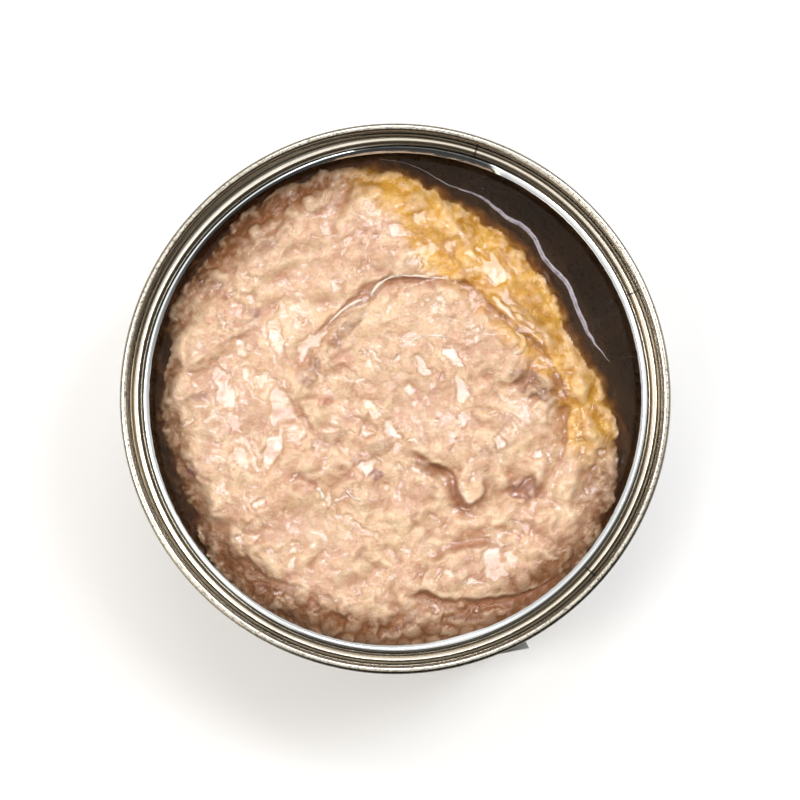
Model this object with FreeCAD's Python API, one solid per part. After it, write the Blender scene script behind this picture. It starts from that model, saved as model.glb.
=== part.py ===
"""An opened round cat food can with its food, in millimetres, +Z up.

The origin is the centre of the circle that the can stands on. The can is of the drawn
two-piece kind: one steel cup with a stepped foot that stacks on the mouth of the next can,
and an easy-open end that is double seamed to it. The end's panel is torn off, so only its
seam, its chuck wall, its countersink and the narrow lip outside the score are left. A paper
label is wrapped round the wall, and its unglued end stands off along a tangent. Inside are
a swirled mound of minced meat and the broth round it, as deep as the broth's level.
"""

import math
import os

import FreeCAD
import Part

Vector = FreeCAD.Vector

# Overall size
seam_diameter = 87.3  # over the double seam, 3 7/16 in
can_height = 39.7  # foot to crown, 1 9/16 in

# Sheet metal
body_plate = 0.22
end_plate = 0.24
seam_play = 0.03  # sealing compound between the seam's layers

# Double seam and what the torn panel leaves of the end
seam_length = 2.9
hook_overlap = 1.7  # how far the two hooks reach past each other
hook_tip_gap = 0.25  # from a hook's tip to the bend that it points at
countersink_depth = 4.2  # crown to the top of the countersink's floor
countersink_width = 0.9
countersink_radius = 0.5
chuck_lean = 0.54  # how far the chuck wall leans in below the seam
panel_wall_rise = 2.15
panel_wall_lean = 0.6
panel_radius = 0.5
lip_width = 1.4  # panel wall to torn edge
lip_fall = 0.2

# Foot of the cup
foot_step_in = 1.3  # how far the foot steps in, to stand inside another can's mouth
foot_step_height = 2.8
foot_step_slope = 1.2
foot_width = 1.85
foot_radius = 0.6
base_recess = 1.6
base_slope = 0.6
bead_margin = 7.0  # flat ring of base outside the bead
bead_width = 8.0
bead_depth = 0.6
bead_slope = 1.0
bead_radius = 0.6

# Paper label
label_thickness = 0.1
label_glue = 0.04
label_bottom_margin = 0.8  # above the foot's step
label_top_margin = 0.9  # below the seam
label_leave_angle = -79.6  # degrees, where the free end leaves the wall
label_bare_angle = 4.5  # degrees of wall left bare under the free end
label_free_length = 13.8

# Food
fill_clearance = 0.05  # between the food and the cup
headspace = 10.3  # crown to the broth's level
mound_height = 2.9  # the meat's general height above the broth
mound_shoulder = 2.8  # distance over which the mound rises from the broth
pool_depth = 7.0  # how far the meat falls away under the broth
groove_spread = 1.05  # half width of a groove or of a lobe's edge
surface_cells = 62  # spans of the meat's surface across the cup

# Distance of the meat's shore from the axis, every 30 degrees from +X, as a share of the
# mouth's radius.
SHORE = (0.85, 0.745, 0.79, 0.91, 0.94, 0.955, 0.955, 0.935, 1.02, 1.04, 1.03, 0.96)

# Lobes of meat: centre and half axes as shares of the mouth's radius, turn in degrees and
# height in millimetres.
LOBES = (
    ((0.16, 0.11), (0.53, 0.38), -8, 0.85),  # the swirl's core
    ((0.36, -0.33), (0.075, 0.13), 12, 0.75),  # tongue that hangs from the core
    ((0.38, -0.715), (0.27, 0.105), 6, 0.95),  # fold in front
    ((-0.62, -0.05), (0.30, 0.46), 8, 0.45),  # broad outer turn
    ((-0.22, 0.62), (0.42, 0.17), 20, 0.35),
    ((0.45, 0.52), (0.26, 0.14), -42, 0.40),
)

# Grooves: depth in millimetres, then the points that each runs through, as shares of the
# mouth's radius.
GROOVES = (
    (0.95, ((-0.40, 0.14), (-0.21, 0.38), (-0.02, 0.485), (0.15, 0.49), (0.31, 0.46))),
    (0.90, ((0.31, 0.46), (0.49, 0.30), (0.66, 0.11), (0.70, -0.10), (0.62, -0.37))),
    (0.85, ((-0.06, -0.17), (0.10, -0.26), (0.23, -0.34), (0.31, -0.45), (0.44, -0.41))),
    (0.70, ((0.08, -0.76), (0.15, -0.69), (0.22, -0.62), (0.31, -0.58), (0.60, -0.56))),
    (1.00, ((0.00, -0.92), (0.14, -0.85), (0.33, -0.85), (0.51, -0.84), (0.68, -0.74))),
    (0.50, ((-0.88, 0.11), (-0.74, 0.135), (-0.68, 0.17))),
    (0.70, ((-0.62, -0.60), (-0.57, -0.72), (-0.45, -0.78), (-0.19, -0.89))),
    (0.35, ((-0.40, 0.04), (-0.38, -0.06), (-0.34, -0.14), (-0.28, -0.18))),
)

# Pits: centre and radius as shares of the mouth's radius, depth in millimetres.
PITS = (
    ((0.53, -0.37), 0.075, 1.0),
    ((0.55, 0.05), 0.09, 0.5),
    ((-0.53, -0.62), 0.06, 0.35),
)

# Places and sizes that follow from the values above
seam_radius = seam_diameter / 2
skirt_r = seam_radius - end_plate / 2
body_hook_r = skirt_r - end_plate / 2 - seam_play - body_plate / 2
end_hook_r = body_hook_r - body_plate / 2 - seam_play - end_plate / 2
wall_r = end_hook_r - end_plate / 2 - seam_play - body_plate / 2
chuck_r = wall_r - body_plate / 2 - seam_play - end_plate / 2
wall_outer_r = wall_r + body_plate / 2
crown_z = can_height - end_plate / 2
flange_z = crown_z - end_plate / 2 - seam_play - body_plate / 2
end_hook_z = flange_z - body_plate / 2 - hook_tip_gap
body_hook_z = end_hook_z - hook_overlap
seam_bottom_z = can_height - seam_length
countersink_z = can_height - countersink_depth - end_plate / 2
countersink_outer_r = chuck_r - chuck_lean
countersink_inner_r = countersink_outer_r - countersink_width
panel_wall_r = countersink_inner_r - panel_wall_lean
panel_z = countersink_z + panel_wall_rise
mouth_r = panel_wall_r - lip_width
foot_r = wall_r - foot_step_in
foot_inner_r = foot_r - foot_width
bead_outer_r = foot_inner_r - base_slope - bead_margin
bead_inner_r = bead_outer_r - bead_width
broth_z = can_height - headspace
fill_r = wall_r - body_plate / 2 - fill_clearance


def minus(a, b):
    return (a[0] - b[0], a[1] - b[1])


def unit(v):
    length = math.hypot(*v)
    return (v[0] / length, v[1] / length)


def shifted(point, direction, distance):
    return (point[0] + direction[0] * distance, point[1] + direction[1] * distance)


def left_of(direction):
    return (-direction[1], direction[0])


def in_section(point):
    """A point of the section, given as distance from the axis and height."""
    return Vector(point[0], 0, point[1])


def offset_edges(path, offset):
    """The edges that lie offset to the left of a path of corners, each (r, z, bend radius)."""
    edges = []
    start = path[0][:2]
    first = unit(minus(path[1], start))
    last_end = shifted(start, left_of(first), offset)
    for before, corner, after in zip(path, path[1:], path[2:]):
        u = unit(minus(corner[:2], before[:2]))
        v = unit(minus(after[:2], corner[:2]))
        turn = math.atan2(u[0] * v[1] - u[1] * v[0], u[0] * v[0] + u[1] * v[1])
        side = math.copysign(1, turn)
        reach = corner[2] * math.tan(abs(turn) / 2)
        bend_start = shifted(corner, u, -reach)
        bend_end = shifted(corner, v, reach)
        centre = shifted(bend_start, left_of(u), side * corner[2])
        outward = unit(minus(corner[:2], centre))
        a = shifted(bend_start, left_of(u), offset)
        m = shifted(centre, outward, corner[2] - side * offset)
        b = shifted(bend_end, left_of(v), offset)
        add_line(edges, last_end, a)
        edges.append(Part.Arc(in_section(a), in_section(m), in_section(b)).toShape())
        last_end = b
    last = unit(minus(path[-1][:2], path[-2][:2]))
    add_line(edges, last_end, shifted(path[-1], left_of(last), offset))
    return edges


def add_line(edges, a, b):
    """Adds the line from a to b, unless two bends meet and leave none."""
    if math.dist(a, b) > 1e-6:
        edges.append(Part.makeLine(in_section(a), in_section(b)))


def ends_of(edges):
    """First and last point of a row of edges that follow one another."""
    return edges[0].firstVertex(True).Point, edges[-1].lastVertex(True).Point


def revolved(edges):
    """A solid of revolution about Z from the edges of a closed section."""
    section = Part.Face(Part.Wire(Part.sortEdges(edges)[0]))
    return section.revolve(Vector(0, 0, 0), Vector(0, 0, 1), 360)


def sheet_metal(path, thickness):
    """A revolved sheet of even thickness whose middle follows the path."""
    left = offset_edges(path, thickness / 2)
    right = offset_edges(path, -thickness / 2)
    left_start, left_end = ends_of(left)
    right_start, right_end = ends_of(right)
    caps = [Part.makeLine(left_start, right_start), Part.makeLine(left_end, right_end)]
    return revolved(left + right + caps)


def cup_path(top_z):
    """Middle of the cup's sheet, from the wall at top_z down round the foot to the axis."""
    foot_z = body_plate / 2
    base_z = foot_z + base_recess
    step_z = foot_z + foot_step_height
    return [
        (wall_r, top_z, 0),
        (wall_r, step_z + foot_step_slope, foot_radius),
        (foot_r, step_z, foot_radius),
        (foot_r, foot_z, foot_radius),
        (foot_inner_r, foot_z, foot_radius),
        (foot_inner_r - base_slope, base_z, foot_radius),
        (bead_outer_r, base_z, bead_radius),
        (bead_outer_r - bead_slope, base_z - bead_depth, bead_radius),
        (bead_inner_r, base_z - bead_depth, bead_radius),
        (bead_inner_r - bead_slope, base_z, bead_radius),
        (0, base_z, 0),
    ]


def can_body():
    """The drawn cup, with its flange hooked down inside the seam."""
    bend = (body_hook_r - wall_r) / 2
    hook = [
        (body_hook_r, body_hook_z, 0),
        (body_hook_r, flange_z, bend),
        (wall_r, flange_z, bend),
    ]
    return sheet_metal(hook + cup_path(can_height)[1:], body_plate)


def end_ring():
    """What is left of the easy-open end: cover hook, skirt, crown, chuck wall, countersink,
    panel wall and torn lip."""
    hook_bend = (skirt_r - end_hook_r) / 2
    crown_bend = (skirt_r - chuck_r) * 0.42
    seam_z = seam_bottom_z + end_plate / 2
    path = [
        (end_hook_r, end_hook_z, 0),
        (end_hook_r, seam_z, hook_bend),
        (skirt_r, seam_z, hook_bend),
        (skirt_r, crown_z, crown_bend),
        (chuck_r, crown_z, crown_bend),
        (chuck_r, seam_bottom_z + end_plate, countersink_radius),
        (countersink_outer_r, countersink_z, countersink_radius),
        (countersink_inner_r, countersink_z, countersink_radius),
        (panel_wall_r, panel_z, panel_radius),
        (mouth_r, panel_z - lip_fall, 0),
    ]
    return sheet_metal(path, end_plate)


def on_circle(radius, degrees):
    angle = math.radians(degrees)
    return Vector(radius * math.cos(angle), radius * math.sin(angle), 0)


def label():
    """A paper strip once round the wall, with its last stretch straight along a tangent."""
    inner_r = wall_outer_r + label_glue
    outer_r = inner_r + label_thickness
    start = label_leave_angle + label_bare_angle
    end = label_leave_angle + 360
    middle = (start + end) / 2
    free = on_circle(1, end + 90) * label_free_length
    sides = []
    for radius in (inner_r, outer_r):
        leave = on_circle(radius, end)
        wrap = Part.Arc(on_circle(radius, start), on_circle(radius, middle), leave)
        sides += [wrap.toShape(), Part.makeLine(leave, leave + free)]
    caps = [
        Part.makeLine(on_circle(inner_r, start), on_circle(outer_r, start)),
        Part.makeLine(on_circle(inner_r, end) + free, on_circle(outer_r, end) + free),
    ]
    bottom = body_plate / 2 + foot_step_height + foot_step_slope + label_bottom_margin
    top = seam_bottom_z - label_top_margin
    strip = Part.Face(Part.Wire(Part.sortEdges(sides + caps)[0]))
    strip.translate(Vector(0, 0, bottom))
    return strip.extrude(Vector(0, 0, top - bottom))


def smooth_step(t):
    """0 below 0, 1 above 1, and a smooth rise between."""
    t = min(max(t, 0), 1)
    return t * t * (3 - 2 * t)


def shore_radius(angle):
    """Distance from the axis to the shore at an angle, by a cubic through SHORE's values."""
    count = len(SHORE)
    place = angle / (2 * math.pi) * count
    i = math.floor(place)
    t = place - i
    p0, p1, p2, p3 = (SHORE[(i + k) % count] for k in (-1, 0, 1, 2))
    tangent_1 = (p2 - p0) / 2
    tangent_2 = (p3 - p1) / 2
    share = (
        (2 * t**3 - 3 * t**2 + 1) * p1
        + (t**3 - 2 * t**2 + t) * tangent_1
        + (3 * t**2 - 2 * t**3) * p2
        + (t**3 - t**2) * tangent_2
    )
    return share * mouth_r


def lobe_height(x, y, lobe):
    """A flat-topped swelling with a soft edge."""
    (cx, cy), (half_long, half_short), turn, height = lobe
    c = math.cos(math.radians(turn))
    s = math.sin(math.radians(turn))
    dx = x / mouth_r - cx
    dy = y / mouth_r - cy
    along = (dx * c + dy * s) / half_long
    across = (dy * c - dx * s) / half_short
    inside = (1 - math.hypot(along, across)) * min(half_long, half_short) * mouth_r
    return height * smooth_step(0.5 + inside / (2 * groove_spread))


def distance_to_line(x, y, a, b):
    """Distance from a point to the straight stretch from a to b."""
    ax, ay = a[0] * mouth_r, a[1] * mouth_r
    bx, by = b[0] * mouth_r, b[1] * mouth_r
    length_squared = (bx - ax) ** 2 + (by - ay) ** 2
    t = ((x - ax) * (bx - ax) + (y - ay) * (by - ay)) / length_squared
    t = min(max(t, 0), 1)
    return math.hypot(x - ax - t * (bx - ax), y - ay - t * (by - ay))


def groove_depth(x, y, groove):
    depth, points = groove
    distance = min(distance_to_line(x, y, a, b) for a, b in zip(points, points[1:]))
    return depth * math.exp(-((distance / groove_spread) ** 2))


def pit_depth(x, y, pit):
    (cx, cy), radius, depth = pit
    distance = math.hypot(x - cx * mouth_r, y - cy * mouth_r)
    return depth * math.exp(-((distance / (radius * mouth_r)) ** 2))


def unevenness(x, y):
    """Low uneven swells, from a few crossing waves of unlike length and direction."""
    total = 0.0
    for k in range(7):
        heading = k * math.pi * (3 - math.sqrt(5))
        wave_length = mouth_r * (0.62 - 0.055 * k)
        along = x * math.cos(heading) + y * math.sin(heading)
        total += 0.11 * math.cos(2 * math.pi * along / wave_length + 1.7 * k)
    return total


def meat_height(x, y):
    """Height of the meat's surface above the foot."""
    inland = shore_radius(math.atan2(y, x)) - math.hypot(x, y)
    if inland < 0:
        fall = pool_depth * (1 - math.exp(inland * mound_height / mound_shoulder / pool_depth))
        return broth_z - fall
    risen = 1 - math.exp(-inland / mound_shoulder)
    relief = unevenness(x, y)
    relief += sum(lobe_height(x, y, lobe) for lobe in LOBES)
    relief -= sum(groove_depth(x, y, groove) for groove in GROOVES)
    relief -= sum(pit_depth(x, y, pit) for pit in PITS)
    return broth_z + mound_height * risen + relief * smooth_step(inland / mound_shoulder)


def below_meat_surface():
    """Everything under the meat's surface, as one solid wider than the cup."""
    half = fill_r * 1.03
    places = [half * (2 * i / surface_cells - 1) for i in range(surface_cells + 1)]
    grid = [[Vector(x, y, meat_height(x, y)) for y in places] for x in places]
    surface = Part.BSplineSurface()
    surface.interpolate(grid)
    return surface.toShape().extrude(Vector(0, 0, -can_height))


def inside_of_cup(top_z):
    """The room inside the cup up to top_z, less the clearance to its sheet."""
    wetted = offset_edges(cup_path(top_z), -(body_plate / 2 + fill_clearance))
    rim, centre = ends_of(wetted)
    axis_top = Vector(0, 0, top_z)
    lid = Part.makeLine(rim, axis_top)
    return revolved(wetted + [lid, Part.makeLine(axis_top, centre)])


def contents():
    """The meat, and the broth round it up to its level."""
    packed = below_meat_surface()
    meat = inside_of_cup(countersink_z).common(packed)
    broth = inside_of_cup(broth_z).cut(packed)
    return meat, broth


meat, broth = contents()
nodes = {
    "can_body": can_body(),
    "end_ring": end_ring(),
    "label": label(),
    "meat": meat,
    "broth": broth,
}
os.makedirs("parts", exist_ok=True)
for name, shape in nodes.items():
    solids = shape.Solids
    print(name, "solids", len(solids), "valid", shape.isValid(), "mm3", round(shape.Volume, 1))
    kept = solids[0] if len(solids) == 1 else Part.makeCompound(solids)
    kept.exportStep(f"parts/{name}.step")
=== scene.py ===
"""Looks of the opened can of cat food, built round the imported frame."""
import math

import bpy
import numpy as np
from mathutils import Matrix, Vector
from mathutils.bvhtree import BVHTree


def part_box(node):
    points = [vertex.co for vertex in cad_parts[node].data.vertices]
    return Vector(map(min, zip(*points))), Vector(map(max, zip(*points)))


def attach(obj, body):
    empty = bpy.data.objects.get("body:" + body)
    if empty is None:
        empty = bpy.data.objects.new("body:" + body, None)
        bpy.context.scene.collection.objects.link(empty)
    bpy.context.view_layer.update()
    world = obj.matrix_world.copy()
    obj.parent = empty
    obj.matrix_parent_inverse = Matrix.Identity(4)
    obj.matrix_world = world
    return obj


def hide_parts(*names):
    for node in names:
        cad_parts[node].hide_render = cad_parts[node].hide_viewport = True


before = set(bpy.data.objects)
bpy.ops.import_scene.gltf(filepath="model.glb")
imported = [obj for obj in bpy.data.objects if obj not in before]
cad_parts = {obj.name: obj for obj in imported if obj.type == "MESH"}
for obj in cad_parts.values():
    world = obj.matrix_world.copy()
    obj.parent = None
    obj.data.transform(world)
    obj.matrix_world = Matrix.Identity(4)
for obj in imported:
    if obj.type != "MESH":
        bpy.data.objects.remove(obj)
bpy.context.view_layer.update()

MM = 0.001

# ---- sizes from the frame
meat_low, meat_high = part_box("meat")
broth_low, broth_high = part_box("broth")
ring_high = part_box("end_ring")[1]
food_radius = broth_high.x
broth_level = broth_high.z
seam_radius = ring_high.x
crown_top = ring_high.z
ring_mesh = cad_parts["end_ring"].data
mouth_radius = min(math.hypot(v.co.x, v.co.y) for v in ring_mesh.vertices)

# ---- studio
TENT_MIDDLE = 115  # azimuth in degrees of the tent's middle, opposite to its open front
TENT_LIGHT = 0.64
OVERHEAD_LIGHT = 0.52
DARK_LIGHT = 0.05
FLOOR_GLOW = 0.14
CEILING_GLOW = 0.32  # the white ceiling that metal mirrors
TENT_TINT = (1, 0.965, 0.92, 1)

# ---- food features, in mm
MEAT_SPANS, BROTH_SPANS = 306, 120  # spans of the grids across the can
MEAT_TOP, FILM_TOP = 34.7, 35.3  # the highest that meat and film may rise, over the can's foot
STREWN_FACES = 100
# The meat's foot, which narrows like the can's: share of the radius, height over the meat's base
MEAT_FOOT = ((1, 4.2), (0.968, 2.7), (0.966, 2), (0.9, 1.8))
BROTH_LOSS = (0.55, 0.78, 1.1)  # how fast the broth swallows red, green and blue, per mm of depth

# The fold that winds round the core, from the left over the top and down the right.
SWIRL = ((-15.4, 4.5), (-14.6, 8), (-11.7, 11.2), (-8, 14.8), (-4.8, 17.6), (-0.8, 19), (5.6, 19.2),
         (11.2, 18.2), (15.2, 14.8), (19.2, 11.6), (23.2, 8.6), (25.7, 4.3), (27.3, -0.2), (27.3, -6.6),
         (25.7, -11.4), (22.5, -14.6))
# The core's lower lip, round its tongue.
LIP = ((0.8, -7.6), (3.6, -9.2), (6.2, -10.8), (9, -12.2), (9.9, -15.4), (11.3, -17.3), (13.3, -16.7),
       (14.3, -14.4), (14.4, -11.6), (16.2, -10))
FRONT_TOP = ((3.2, -30.2), (4.8, -27.6), (8, -24.9), (12, -23.5), (16.8, -23.7), (20.5, -22.8))
FRONT_FOOT = ((1, -33), (4, -31.6), (8, -32.4), (12.8, -32.2), (18.4, -32.5), (24, -30), (29, -26.4))
LEFT_LEDGE = ((-35.4, -2), (-34.6, -5.4), (-34.9, -9), (-32.4, -12.6), (-30.8, -15))
LOW_LEFT = ((-25.6, -20.5), (-24.4, -24.2), (-22.6, -27.2), (-19.4, -29.3), (-15.2, -30.6), (-10.4, -32.6))
LEFT_CREASE = ((-34.6, 4.4), (-31.6, 4.3), (-28.6, 5.6))
STRAND = ((-15.7, 1.6), (-15.2, -1.8), (-13.6, -5), (-11, -7.2))

# (points, depth, half width, how much the left side stands over the right)
CREASES = (
    (SWIRL, 0.8, 0.5, 0.5),
    (LIP, 1.3, 0.6, 1.15),
    (FRONT_TOP, 0.9, 0.65, -0.8),
    (FRONT_FOOT, 1.2, 0.7, 1.05),
    (LEFT_LEDGE, 0.6, 0.6, 0.6),
    (LOW_LEFT, 0.45, 0.55, 0.45),
    (LEFT_CREASE, 0.35, 0.45, 0.15),
    (STRAND, 0.3, 0.4, 0.1),
)

# Patches of colour: x and y, half axes, turn in degrees, strength. The first list is painted shade, along
# creases and folds and at the meat's edge by the wall; the purple and red ones are stains.
BROWN_SHADE_PATCHES = (
    (22.5, 2, 4.4, 2, -30, 0.9), (-2.4, -7.9, 2.2, 1.2, 20, 0.55), (-10, -6.4, 2.6, 1.2, 15, 0.45),
    (5.2, -11.2, 2.2, 0.9, -35, 0.7), (10, -14.6, 1.6, 0.8, -60, 0.7), (20.8, -14.2, 3, 2, -10, 0.7),
    (-8, 10.9, 4.6, 1, 48, 0.65), (-4, 17, 3.2, 1, 40, 0.65), (-13, 5, 0.9, 2.6, 0, 0.6),
    (21, 13, 5, 1.2, -40, 0.5), (-21, 26.5, 7, 2.6, 40, 0.55), (-10, 33, 8, 2.2, 20, 0.5),
    (-28.5, 20, 5, 2.2, 52, 0.45), (4, -36, 10, 2.4, 5, 0.5), (-20, -31, 8, 2, -32, 0.5),
    (24, -29, 6, 2, 45, 0.55), (-34.6, -7, 1.2, 4, 5, 0.5), (16, -8, 4, 0.8, 20, 0.35),
)
PURPLE = (
    (20.8, -14.6, 2.4, 1.6, -20, 0.55), (-3.2, -12.2, 1, 0.8, 0, 0.9), (-32.8, -11.7, 1, 1, 0, 0.9),
    (-22.4, 13.8, 0.8, 0.9, 0, 0.7), (-14.6, 3.4, 1.2, 1.6, 0, 0.4), (-31.2, 0.4, 1.3, 0.8, 0, 0.5),
    (25.6, 3, 1.6, 1, -40, 0.5), (-6, -9.6, 1.4, 0.9, 30, 0.4), (17.8, -3.4, 1.6, 1.2, 0, 0.3),
)
RED = (
    (-11.2, -0.2, 1.3, 1, 20, 0.7), (-18.6, 19.5, 1.6, 0.6, 30, 0.35), (-8.4, 6.2, 2, 1, 0, 0.4),
    (8.8, 2.5, 3, 2, -60, 0.18), (-27, 6, 3, 1.4, 10, 0.18), (-20, -21.5, 3, 1.6, 30, 0.18),
    (14, -21, 3, 1, 10, 0.18), (2, -17, 3.5, 2, -20, 0.18), (-30, 12.6, 1, 0.7, 0, 0.6),
    (-16, -14, 3, 2, 0, 0.16), (-2, 24, 4, 2, 10, 0.16), (21.6, -21, 2, 1, 0, 0.18),
)

# How far the meat reaches out from the middle, every so many degrees from +X
REACH = ((-180, 38.3), (-161, 37.6), (-150, 37.6), (-140, 39.9), (-122, 40.7), (-100, 41), (-45, 40.9),
         (-32, 39.8), (-18, 38.1), (-9, 36.8), (0, 34.6), (10, 31.6), (22, 30), (28, 30.2), (43, 31.5),
         (55, 31.8), (74, 33.2), (90, 37.2), (110, 39), (127, 39), (145, 38.4), (157, 39.5), (169, 37.5),
         (180, 38.3))

# A painted reflection on the broth: a pale strip along the bright line that the broth mirrors
BROTH_GLINT = ((-2.4, 38.7), (0.6, 38.3), (3.4, 37.4), (5.6, 36.2), (8.3, 34.6), (12.5, 33.1), (14.7, 31.9),
        (16.6, 30.4), (18.4, 29), (20.8, 27.7), (22.1, 26.4), (23.2, 24.4), (24.1, 22.5), (25.8, 20.7),
        (28, 18.1), (29.1, 15.2), (30.7, 11.5), (31.7, 9.7), (32.8, 8.1), (34.5, 6))

# Lumps: x and y, half axes, turn in degrees, height
LUMPS = (
    (13, -27.6, 8.5, 3.6, 8, 0.9), (11.8, -14.4, 3.2, 1.8, -80, 1.1), (6.9, -14.2, 2.1, 1.8, 10, 0.6),
    (-19.4, 24.4, 2.8, 2.2, 30, 0.7), (-26, 17, 1.3, 1.2, 0, 0.55), (-23.4, 13.2, 1, 0.9, 0, 0.45),
    (-33.2, 8.2, 3.2, 2.2, 75, 0.55), (-34.4, 2, 2.4, 1.6, 80, 0.45), (18.4, 3.8, 1.3, 1.1, 20, 0.6),
    (21.4, 1.2, 1.2, 1, 0, 0.6), (24.2, 2.6, 1.2, 0.9, -40, 0.6), (23.6, -1.6, 1.6, 1, 30, 0.55),
    (26.2, -0.4, 1.1, 0.9, 0, 0.5), (20, 9, 1.5, 0.9, -50, 0.55), (16.4, 8.2, 2, 1, -60, 0.45),
    (29.6, 1.6, 2.2, 1.6, -60, 0.7), (31, -4.6, 2, 1.6, -70, 0.6), (22.6, -11.6, 1.4, 1, 60, 0.5),
    (17.6, -13.2, 1.3, 1, 30, 0.45), (-28.4, -17.6, 2.4, 1.6, -50, 0.55),
    (-23.6, -24.6, 2.6, 1.5, -40, 0.5), (-12, -15.2, 1.3, 0.9, 70, 0.45), (-4.8, 33, 2.6, 1.6, 10, 0.55),
    (3.2, 31.4, 2, 1.4, -20, 0.55), (8.6, 27.6, 2.4, 1.5, -30, 0.6), (-12.6, 32, 2.6, 1.8, 20, 0.55),
    (-8.2, 27.6, 2, 1.5, 60, 0.5), (24.6, 16.2, 2.6, 1.6, -55, 0.6), (-6.4, 11.4, 2.4, 1.5, 50, 0.55),
    (-8.6, 7, 2.6, 1.8, 30, 0.45), (9, -33.4, 2.2, 1.3, 10, 0.5), (-6, -34, 2.8, 1.6, -10, 0.55),
    (17, -34, 2.4, 1.2, 25, 0.5), (-16, 3.2, 1.2, 1.8, 0, 0.4), (19.4, -13.2, 0.9, 0.7, 30, 0.6),
    (21.9, -15.6, 0.9, 0.6, -30, 0.6), (22.9, -13, 0.8, 0.6, 60, 0.55), (20.2, -16.4, 0.8, 0.6, 0, 0.5),
    (24, -19.4, 2.4, 1.8, 60, 0.5), (27.6, -14.4, 2.2, 1.6, 70, 0.55), (-10.6, -8.4, 1.5, 1.2, 0, 0.4),
)

# Smeared, smooth places: x and y, half axes, turn in degrees
SMOOTH = (
    (4.5, -1, 7, 5.5, 10), (-26.5, -2, 6.5, 9, 8), (-18, 10.5, 6, 5, 30), (-13, -21, 7.5, 4.5, -15),
    (-14.5, 21.5, 6.5, 3.5, 25), (12, -27.4, 7, 2.8, 8), (15.5, 22, 4.5, 3.4, -40), (3, 14.5, 4.5, 2.5, 0),
    (22, 15.6, 8, 3.6, -55), (7, 27, 7, 3, -28), (28.4, -2, 6, 2.2, -85),
)

# Where the yellow fat begins, from the top round to the right
FAT_EDGE = ((-13, 38), (-8, 34.5), (-1.5, 31), (2, 26.4), (6, 21.5), (12, 16.4), (17.6, 10.5), (23, 4.6),
            (26, -1), (27.2, -7), (30.5, -14))

# Threads that lie on the meat: points, then radius. The two along the swirl are pale, a painted highlight,
# the bright line beside its crease.
THREADS = (
    (((19.2, 10.6), (20.4, 9.6), (20.2, 7.9), (18.9, 7.2)), 0.42),
    (((-12.6, -14.2), (-11.9, -15), (-11.5, -16.1)), 0.4),
    (((2.2, 9.2), (4.6, 10.1), (8, 10)), 0.16),
    (((-10.6, 12.2), (-8.8, 13.9), (-6.6, 15.4), (-5, 16)), 0.26),
    (((-4, 16.6), (-2.6, 18.4), (-0.6, 19.6), (2.4, 19.8), (6.4, 19.5), (10.6, 18.9)), 0.24),
    (((-8, -14.2), (-7, -15.6), (-5, -16.4)), 0.16),
)

# Welts of jelly that catch the light: points, then half width
WELTS = (
    (((-12.6, 8.2), (-11.6, 10.4), (-9.8, 12.2)), 0.6),
    (((14.6, 16.6), (17.6, 14.2), (20.6, 11.9), (22.8, 9.8)), 0.45),
    (((-10.8, -14.4), (-10.2, -18.4), (-7, -20.2), (-2.6, -22.2)), 0.45),
    (((2.6, -9.6), (4.8, -10.8), (5.6, -12.6), (4.4, -13.6)), 0.35),
    (((6, 12.9), (9.6, 12), (12.4, 10)), 0.35),
    (((-24.8, -21.4), (-22, -20.2), (-19.6, -21)), 0.35),
    (((17, -2), (19.6, -3.6), (20.6, -6.4)), 0.35),
    (((-29.2, 7.8), (-28, 5.4), (-27.2, 3)), 0.45),
)

# Ridges in the meat: points, height, half width
RIDGES = (
    (((-15.9, 0.8), (-15.7, -2.4), (-14.4, -5), (-11.4, -6.9)), 0.45, 0.4),
    (((-14.5, 0.4), (-14.3, -2), (-13.1, -4.2), (-11.6, -5.4)), 0.4, 0.34),
    (((-13.1, -0.4), (-12.7, -2.4), (-11.4, -3.8)), 0.35, 0.3),
    (((-30, -18), (-27, -16), (-25.5, -12.5), (-26.5, -9)), 0.45, 0.8),
    (((5, 14), (9, 13.4), (12.6, 11.4)), 0.35, 0.5),
    (((-2, 6), (-1, 1.5), (-2.5, -2.5)), 0.3, 0.5),
    (((8, -19), (13, -20.5), (18.5, -19.4)), 0.45, 0.7),
    (((-20.5, 20), (-16, 22.6), (-10, 22.8)), 0.4, 0.7),
    (((-8, -24.6), (-1, -26.6), (3, -25.4)), 0.4, 0.7),
)

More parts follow.
